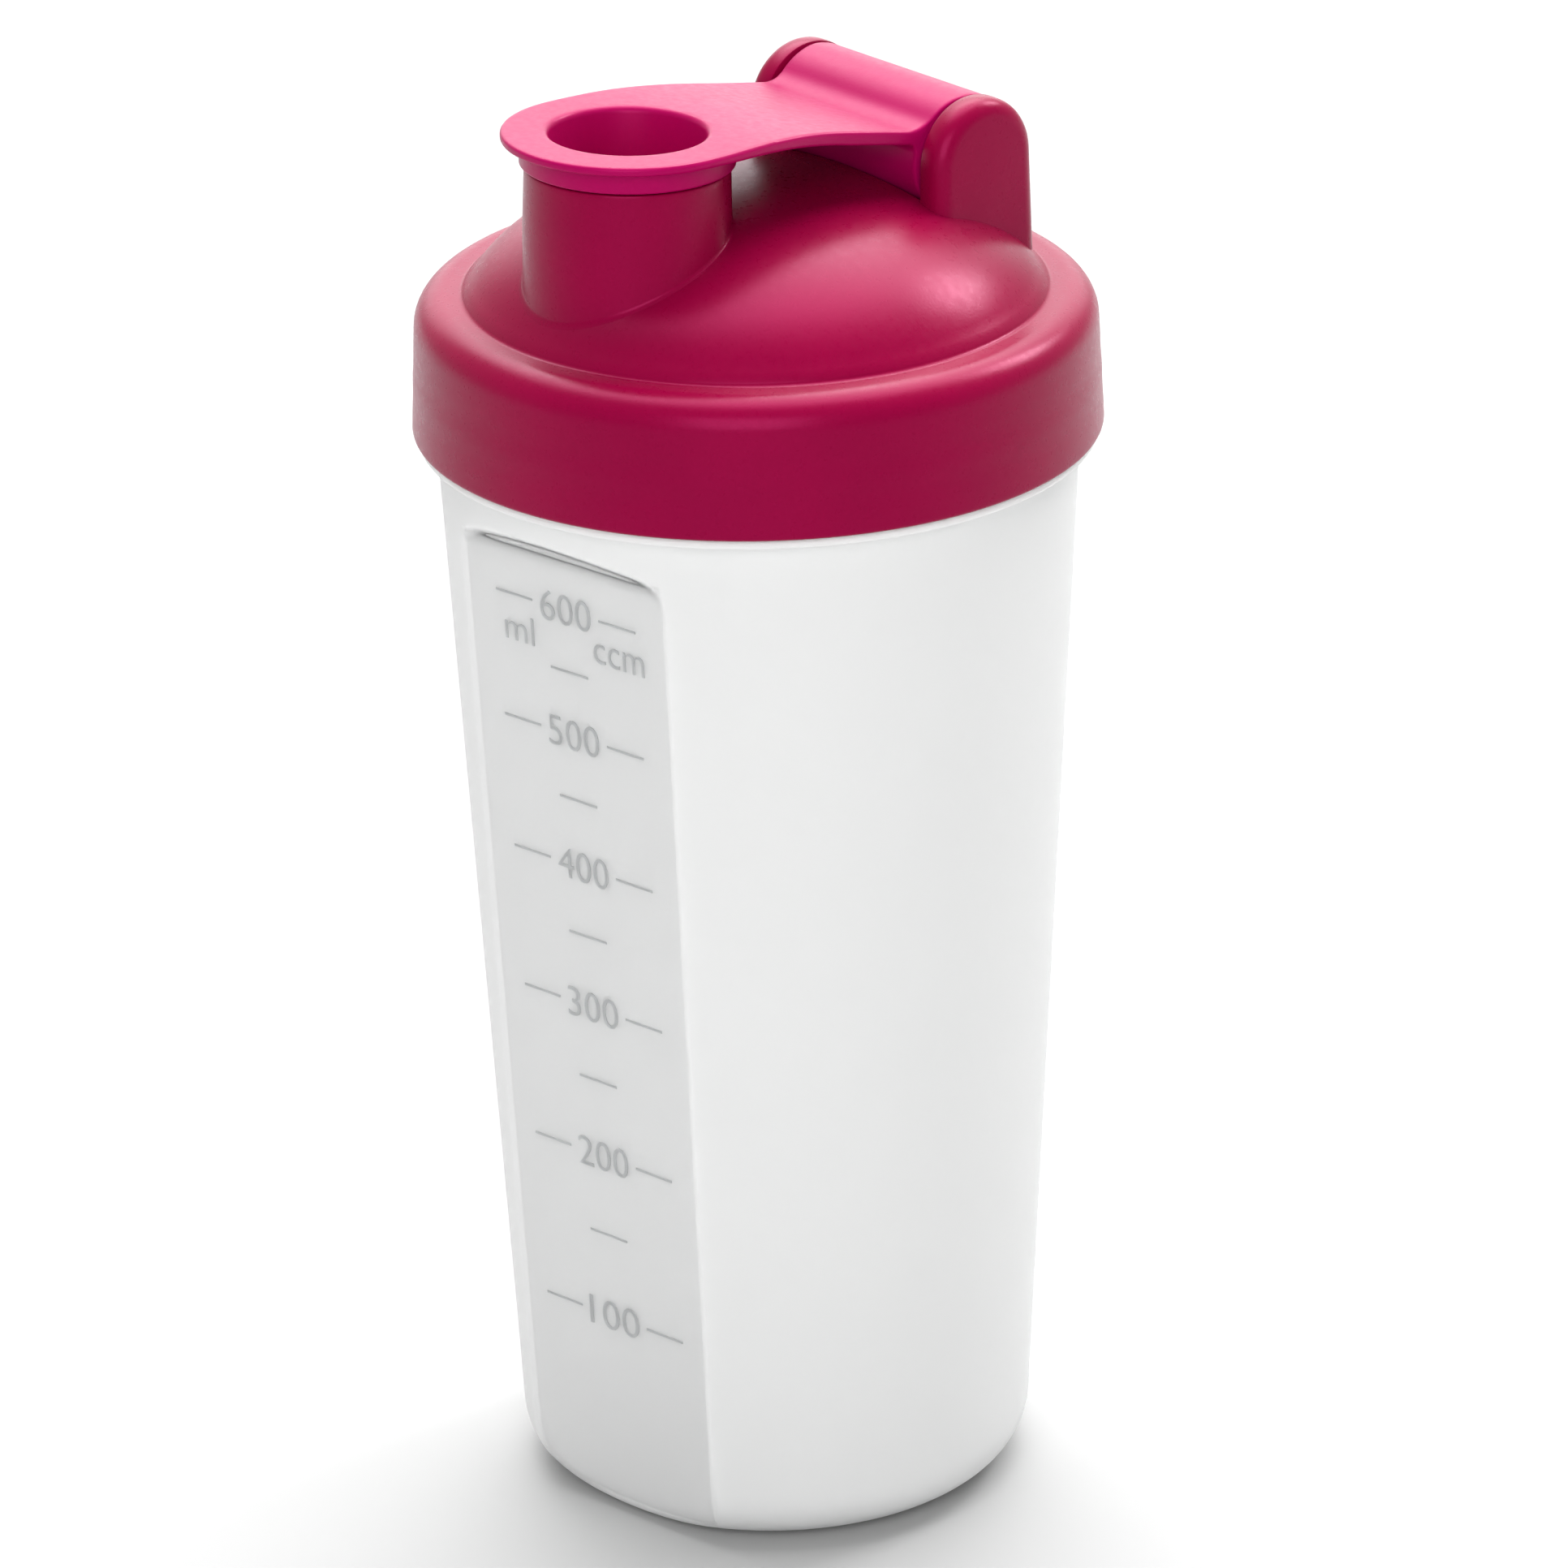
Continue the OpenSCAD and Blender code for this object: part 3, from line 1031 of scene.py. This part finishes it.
    def post(self, side: int) -> Mesh:
        """One hinge post: a round-topped slab whose outer rim is rounded, on the dome.

        Args:
            side: 1 for the post at +X, -1 for the other.

        Returns:
            A new mesh in millimetres.
        """
        hinge = self.hinge
        radius = hinge.barrel_r + 0.15
        bm = bmesh.new()
        crown = arc(hinge.centre, radius, 0, 180, 48)
        foot_z = self.dome(math.hypot(hinge.post_x, hinge.y), self.wall) - self.post_sunk
        outline = [*crown, (hinge.y - radius - 0.5, foot_z), (hinge.y + radius + 0.5, foot_z)]
        verts = [bm.verts.new((hinge.post_x, y, z)) for y, z in outline]
        face = bm.faces.new(verts)
        made = bmesh.ops.extrude_face_region(bm, geom=[face])
        outer = [v for v in made["geom"] if isinstance(v, bmesh.types.BMVert)]
        bmesh.ops.translate(bm, verts=outer, vec=(hinge.post_t, 0, 0))
        bmesh.ops.recalc_face_normals(bm, faces=bm.faces)
        rim = [
            e for e in bm.edges
            if all(v in set(outer) for v in e.verts) and max(v.co.z for v in e.verts) > foot_z + 1
        ]
        bmesh.ops.bevel(
            bm, geom=rim, offset=self.post_round, segments=8, affect="EDGES", profile=0.5, material=-1,
        )
        inner = [
            e for e in bm.edges
            if all(abs(v.co.x - hinge.post_x) < 1e-4 for v in e.verts)
            and max(v.co.z for v in e.verts) > foot_z + 1
        ]
        bmesh.ops.bevel(bm, geom=inner, offset=0.35, segments=2, affect="EDGES", profile=0.5, material=-1)
        if side < 0:
            bmesh.ops.scale(bm, vec=(-1, 1, 1), verts=bm.verts)
            bmesh.ops.recalc_face_normals(bm, faces=bm.faces)
        under = [self.dome_in * i / 20 for i in range(20, -1, -1)]
        below = lathe([(0.0, self.low_z), *((r, self.dome(r, self.wall - 0.3)) for r in under)], 96)
        return carve(bm, below, Carve.CUT)

    def axle(self, side: int) -> Mesh:
        """Makes one stub axle on a post's inner face, with a rounded end.

        Args:
            side: 1 for the post at +X, -1 for the other.

        Returns:
            A new mesh in millimetres.
        """
        hinge = self.hinge
        tip = arc((hinge.axle_r - self.edge, self.axle_length - self.edge), self.edge, 0, 90, 4)
        bm = lathe([(0.0, -1.5), (hinge.axle_r, -1.5), *tip, (0.0, self.axle_length)], 48)
        turn = Matrix.Rotation(-side * math.pi / 2, 4, "Y")
        bm.transform(Matrix.Translation((side * hinge.post_x, hinge.y, hinge.z)) @ turn)
        return bm

    def build(self) -> bpy.types.Object:
        """Makes the lid moulding.

        Returns:
            The piece that stands for the lid.
        """
        parts = [self.shell(), self.spout_tube()]
        for side in (-1, 1):
            parts += [self.post(side), self.axle(side)]
        parts.append(self.thread.ridge(self.skirt_in, -1, self.thread.skirt_z))
        piece = Piece("lid_moulding", "lid", "lid_plastic", (LID_PINK.build(),), stands_for=("screw_lid",))
        return piece.make(joined(parts))


# ------------------------------------------------------------------ flip cap


@dataclass
class FlipCap:
    """The flip cap: a thin face that bends down into the hinge barrel, a recess, a plug and a skirt."""

    spout: Spout
    hinge: Hinge
    nose_r: float = 17.2
    recess_r: float = 10.7
    recess_d: float = 7.8
    bend_from: float = -15.0
    bend_to: float = 3.0
    arm_angle: float = 12.4
    nose_t: float = 1.3
    arm_t: float = 2.1
    waist_half: float = 14.7
    waist_y: float = 5.0
    top_fillet: float = 5.0
    low_fillet: float = 1.2
    edge_round: float = 0.5
    plug_length: float = 9.0
    plug_tip_r: float = 10.5
    plug_root_r: float = 11.8
    rim_skirt: float = 3.2
    rim_in_r: float = 13.5
    rim_out_r: float = 14.65
    mouth: float = 0.95
    socket_depth: float = 3.4
    across: int = 36

    @property
    def half_length(self) -> float:
        """Half the barrel's length, which just clears the posts."""
        return self.hinge.post_x - 0.3

    def face_z(self, y: float) -> float:
        """Gives the height of the upper face: the lean, an even bend, then the arm's slope.

        Args:
            y: Place along the cap.

        Returns:
            The height in millimetres.
        """
        lean = math.tan(math.radians(self.spout.lean))
        more = math.tan(math.radians(self.arm_angle)) - lean
        length = self.bend_to - self.bend_from
        share = (min(max(y, self.bend_from), self.bend_to) - self.bend_from) / length
        bent = share * share * length / 2 + max(0.0, y - self.bend_to)
        return self.spout.face_z - lean * (y + self.spout.y) - more * bent

    def thickness(self, y: float) -> float:
        """Thickness of the face at a place along the cap."""
        share = min(1.0, max(0.0, (y + self.spout.y) / (self.waist_y + self.spout.y)))
        return self.nose_t + (self.arm_t - self.nose_t) * share

    def half_width(self, y: float) -> float:
        """Gives half the cap's width: round nose, waist, then out to the barrel's ends.

        Args:
            y: Place along the cap.

        Returns:
            The half width in millimetres.
        """
        ahead = y + self.spout.y
        if ahead < 0:
            return math.sqrt(max(0.0, self.nose_r**2 - ahead**2))
        if y < self.waist_y:
            share = (1 + math.cos(math.pi * ahead / (self.waist_y + self.spout.y))) / 2
            return self.waist_half + (self.nose_r - self.waist_half) * share
        share = min(1.0, (y - self.waist_y) / (self.hinge.y - self.waist_y))
        return self.waist_half + (self.half_length - self.waist_half) * share**2

    def fillet(self, radius: float, drop: float, side: int) -> tuple[float, Outline, float]:
        """Finds the round stretch between the arm's face and the barrel.

        Args:
            radius: Radius of the fillet.
            drop: Distance of the face below the upper face.
            side: 1 where the fillet is above the face, -1 below.

        Returns:
            Where it leaves the face, its points, and the barrel's angle where it ends, in degrees.
        """
        slope = math.radians(self.arm_angle)
        along = Vector((math.cos(slope), -math.sin(slope)))
        normal = Vector((math.sin(slope), math.cos(slope)))
        start = Vector((self.bend_to, self.face_z(self.bend_to) - drop))
        centre = Vector(self.hinge.centre)
        below = (centre - start).dot(normal)
        reach = math.sqrt((self.hinge.barrel_r + radius) ** 2 - (side * radius - below) ** 2)
        middle = centre - along * reach + normal * (side * radius - below)
        leave = middle - normal * side * radius
        first = math.degrees(math.atan2(leave.y - middle.y, leave.x - middle.x))
        toward = centre - middle
        last = math.degrees(math.atan2(toward.y, toward.x))
        points = arc((middle.x, middle.y), radius, first, last, 8)
        out = middle - centre
        return leave.x, points, math.degrees(math.atan2(out.y, out.x))

    def slices(self) -> list[tuple[tuple[float, float], tuple[float, float]]]:
        """Gives the cap's slices, from the nose to the barrel's back.

        Returns:
            An upper and a lower point, as Y and Z, for each slice.
        """
        top_y, top_round, top_angle = self.fillet(self.top_fillet, 0.0, 1)
        low_y, low_round, low_angle = self.fillet(self.low_fillet, self.arm_t, -1)
        nose = [-self.spout.y - self.nose_r * math.cos(math.pi / 2 * i / 30) for i in range(30)]
        upper = []
        lower = []
        for y in nose:
            upper.append((y, self.face_z(y)))
            lower.append((y, self.face_z(y) - self.thickness(y)))
        for i in range(31):
            share = i / 30
            y = -self.spout.y + (top_y + self.spout.y) * share
            upper.append((y, self.face_z(y)))
            y = -self.spout.y + (low_y + self.spout.y) * share
            lower.append((y, self.face_z(y) - self.thickness(y)))
        upper += top_round[1:]
        lower += low_round[1:]
        upper += arc(self.hinge.centre, self.hinge.barrel_r, top_angle, 0, 28)[1:]
        lower += arc(self.hinge.centre, self.hinge.barrel_r, low_angle, 360, 28)[1:]
        return list(zip(upper, lower))

    def edge_gap(self, x: float, y: float) -> float:
        """Gives the distance from a point in plan to the cap's outline.

        Args:
            x: The point's X.
            y: The point's Y.

        Returns:
            The distance, which is positive inside.
        """
        ahead = y + self.spout.y
        if ahead < 0:
            return self.nose_r - math.hypot(x, ahead)
        return self.half_width(y) - abs(x)

    def ring_point(self, seat: int, pair: tuple[tuple[float, float], tuple[float, float]]) -> Vector:
        """Gives a point of one slice's loop: the upper row from -X to +X, then the lower row back.

        Args:
            seat: Number of the point in the loop.
            pair: The slice's upper and lower points.

        Returns:
            The point, with the cap's edge rounded.
        """
        upper = seat <= self.across
        step = seat if upper else 2 * self.across + 1 - seat
        y, z = pair[0] if upper else pair[1]
        x = -self.half_width(y) * math.cos(math.pi * step / self.across)
        middle = (Vector(pair[0]) + Vector(pair[1])) / 2
        inward = middle - Vector((y, z))
        near = max(0.0, self.edge_round - self.edge_gap(x, y))
        drop = self.edge_round - math.sqrt(max(0.0, self.edge_round**2 - near**2))
        if inward.length > 1e-3:
            shift = inward.normalized() * min(drop, inward.length * 0.9)
            y += shift.x
            z += shift.y
        return Vector((x, y, z))

    def arm(self) -> Mesh:
        """Makes the face, the arm and the barrel as one form, extruded slice by slice.

        Returns:
            A new mesh in millimetres.
        """
        pairs = self.slices()
        bm = bmesh.new()
        layer = bm.verts.layers.int.new("seat")
        count = 2 * self.across + 2
        verts = [bm.verts.new(self.ring_point(i, pairs[0])) for i in range(count)]
        for i, vert in enumerate(verts):
            vert[layer] = i
        edges = [bm.edges.new((verts[i - 1], verts[i])) for i in range(count)]
        for pair in pairs[1:]:
            made = bmesh.ops.extrude_edge_only(bm, edges=edges)["geom"]
            edges = [e for e in made if isinstance(e, bmesh.types.BMEdge)]
            new = [v for v in made if isinstance(v, bmesh.types.BMVert)]
            edges = [e for e in edges if all(v in set(new) for v in e.verts)]
            for vert in new:
                vert.co = self.ring_point(vert[layer], pair)
        bmesh.ops.holes_fill(bm, edges=bm.edges, sides=0)
        return tidy(bm)

    def plug(self) -> Mesh:
        """Makes the plug that goes in the bore and the skirt that goes round the spout's rim.

        Returns:
            A new mesh in millimetres.
        """
        low = -self.nose_t - self.plug_length
        rim_low = -self.nose_t - self.rim_skirt
        outline = [(0.0, low), *arc((self.plug_tip_r - 0.5, low + 0.5), 0.5, -90, 0, 4)]
        outline += [(self.plug_root_r, -self.nose_t), (self.rim_in_r, -self.nose_t)]
        outline += [(self.rim_in_r, rim_low + 0.2), (self.rim_in_r + 0.2, rim_low)]
        outline += arc((self.rim_out_r - 0.35, rim_low + 0.35), 0.35, -90, 0, 4)
        outline += [(self.rim_out_r, -0.8), (0.0, -0.8)]
        bm = lathe(outline, 160)
        bm.transform(self.spout.matrix())
        return bm

    def recess(self) -> Mesh:
        """Makes the space of the finger recess, with a flared mouth and a rounded floor.

        Returns:
            A new mesh in millimetres.
        """
        low = -self.recess_d
        outline = [(0.0, low), *arc((self.recess_r - 2.0, low + 1.0), 1.0, -90, 0, 5)]
        outline += arc((self.recess_r + 0.9, -self.mouth), self.mouth, 180, 90, 6)
        outline += [(self.recess_r + 0.92, 2.0), (0.0, 2.0)]
        bm = lathe(outline, 160)
        bm.transform(self.spout.matrix())
        return bm

    def build(self) -> bpy.types.Object:
        """Makes the flip cap.

        Returns:
            The piece that stands for the flip cap.
        """
        cap = carve(self.arm(), self.plug(), Carve.ADD)
        cap = carve(cap, self.recess(), Carve.CUT)
        for side in (-1, 1):
            hole = rod_x(self.hinge.axle_r + 0.06, self.socket_depth, self.hinge.centre, 64)
            bmesh.ops.translate(hole, verts=hole.verts, vec=(side * self.half_length, 0, 0))
            cap = carve(cap, hole, Carve.CUT)
        # The cap's finish holds painted highlight: the lid's pink dye, made brighter and bluer.
        finishes = (CAP_PINK_PAINTED_LIGHT.build(),)
        piece = Piece("flip_cap_moulding", "flip_cap", "cap_plastic", finishes, stands_for=("flip_cap",))
        return piece.make(cap)


# ------------------------------------------------------------------ studio


def dress_cad_nodes() -> None:
    """Gives the sieve and the seal, which stay as the design has them, their finishes."""
    for node, finish in (("mixing_sieve", SIEVE), ("lid_seal", SEAL)):
        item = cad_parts[node]
        item.data.materials.clear()
        item.data.materials.append(finish.build())
        LOG.info("%s: design mesh with finish %s", node, finish.name)


@dataclass(frozen=True)
class Glow:
    """A bright patch of the surround: its direction, rim and core angles in degrees, and strength."""

    aim: tuple[float, float, float]
    rim: float
    core: float
    strength: float


@dataclass
class Studio:
    """A pale floor, a bright surround, soft boxes and the camera."""

    turn: float = math.radians(49.5)
    distance: float = 1.2795
    height: float = 0.6282
    pitch: float = 0.3903
    yaw: float = 0.0020
    roll: float = -0.0181
    lens: float = 227.8
    surround: float = 0.52
    floor_tone: float = 0.40
    glows: tuple[Glow, ...] = (
        Glow((0.0, 0.38, 0.92), 40.0, 18.0, 6.2),
        Glow((0.0, 0.90, 0.42), 38.0, 16.0, 1.6),
    )

    def turned(self, vector: Sequence[float]) -> Vector:
        """Turns a direction from the camera's frame into the bottle's."""
        return Matrix.Rotation(self.turn, 3, "Z") @ Vector(vector)

    def camera(self) -> None:
        """Sets the camera at the calibrated place."""
        forward = Vector((
            math.sin(self.yaw) * math.cos(self.pitch),
            math.cos(self.yaw) * math.cos(self.pitch),
            -math.sin(self.pitch),
        ))
        level = Vector((math.cos(self.yaw), -math.sin(self.yaw), 0.0))
        over = level.cross(forward)
        right = level * math.cos(self.roll) + over * math.sin(self.roll)
        upward = over * math.cos(self.roll) - level * math.sin(self.roll)
        axes = [self.turned(v) for v in (right, upward, -forward)]
        data = bpy.data.cameras.new("camera")
        data.lens = self.lens
        data.sensor_width = 36.0
        data.clip_start = 0.05
        item = bpy.data.objects.new("camera", data)
        spin = Matrix(axes).transposed().to_4x4()
        item.matrix_world = Matrix.Translation(self.turned((0, -self.distance, self.height))) @ spin
        bpy.context.scene.collection.objects.link(item)
        bpy.context.scene.camera = item

    def floor(self) -> None:
        """Lays a wide pale floor."""
        bm = bmesh.new()
        bmesh.ops.create_grid(bm, x_segments=2, y_segments=2, size=6.0)
        mesh = bpy.data.meshes.new("floor")
        bm.to_mesh(mesh)
        bm.free()
        sheet = NodeSheet("floor_paint")
        sheet.tint(sheet.noise(3, 2), (self.floor_tone,) * 3, (self.floor_tone + 0.02,) * 3)
        sheet.put(Roughness=0.8)
        mesh.materials.append(sheet.material)
        item = bpy.data.objects.new("floor", mesh)
        bpy.context.scene.collection.objects.link(item)

    def box_light(self, name: str, place: Sequence[float], size: float, power: float) -> None:
        """Hangs a square soft box that faces the bottle.

        Args:
            name: Name of the light.
            place: Its place in the camera's frame, in metres.
            size: Length of its side.
            power: Its power in watts.
        """
        data = bpy.data.lights.new(name, "AREA")
        data.shape = "SQUARE"
        data.size = size
        data.energy = power
        item = bpy.data.objects.new(name, data)
        item.location = self.turned(place)
        aim = Vector((0, 0, 0.12)) - item.location
        item.rotation_euler = aim.to_track_quat("-Z", "Y").to_euler()
        bpy.context.scene.collection.objects.link(item)

    def glow(self, tree: bpy.types.NodeTree, lobe: Glow) -> bpy.types.NodeSocket:
        """Adds one bright patch of the surround.

        Args:
            tree: The world's node tree.
            lobe: Where the patch is, how wide and how bright.

        Returns:
            Its strength in each direction.
        """
        place = tree.nodes.new("ShaderNodeTexCoord")
        dot = tree.nodes.new("ShaderNodeVectorMath")
        dot.operation = "DOT_PRODUCT"
        dot.inputs[1].default_value = self.turned(lobe.aim).normalized()
        spread = tree.nodes.new("ShaderNodeMapRange")
        spread.interpolation_type = "SMOOTHSTEP"
        spread.inputs["From Min"].default_value = math.cos(math.radians(lobe.rim))
        spread.inputs["From Max"].default_value = math.cos(math.radians(lobe.core))
        spread.inputs["To Min"].default_value = 0.0
        spread.inputs["To Max"].default_value = lobe.strength
        tree.links.new(place.outputs["Generated"], dot.inputs[0])
        tree.links.new(dot.outputs["Value"], spread.inputs["Value"])
        return spread.outputs["Result"]

    def world(self) -> None:
        """A white surround with soft bright patches overhead and behind the bottle."""
        world = bpy.data.worlds.new("surround")
        bpy.context.scene.world = world
        world.use_nodes = True
        tree = world.node_tree
        total = None
        for lobe in self.glows:
            add = tree.nodes.new("ShaderNodeMath")
            add.operation = "ADD"
            tree.links.new(self.glow(tree, lobe), add.inputs[0])
            add.inputs[1].default_value = self.surround
            if total is not None:
                tree.links.new(total, add.inputs[1])
            total = add.outputs["Value"]
        tree.links.new(total, tree.nodes["Background"].inputs["Strength"])
        tree.nodes["Background"].inputs["Color"].default_value = (1.0, 1.0, 1.0, 1.0)

    def build(self) -> None:
        """Sets up everything that isn't part of the bottle."""
        bpy.context.scene.view_settings.view_transform = "Standard"
        self.camera()
        self.floor()
        self.world()
        self.box_light("side_box", (0.90, 0.62, 1.05), 0.42, 9.5)
        self.box_light("front_box", (-0.10, -1.30, 0.70), 0.9, 12.0)


def main() -> None:
    """Builds every sub-assembly in order and reports it."""
    logging.basicConfig(level=logging.INFO, format="%(name)s: %(message)s")
    Studio().build()
    cup = Cup()
    cup.build()
    VolumeScale(cup).build()
    dress_cad_nodes()
    spout = Spout()
    hinge = Hinge()
    ScrewLid(spout, hinge).build()
    FlipCap(spout, hinge).build()


if __name__ == "__main__":
    main()
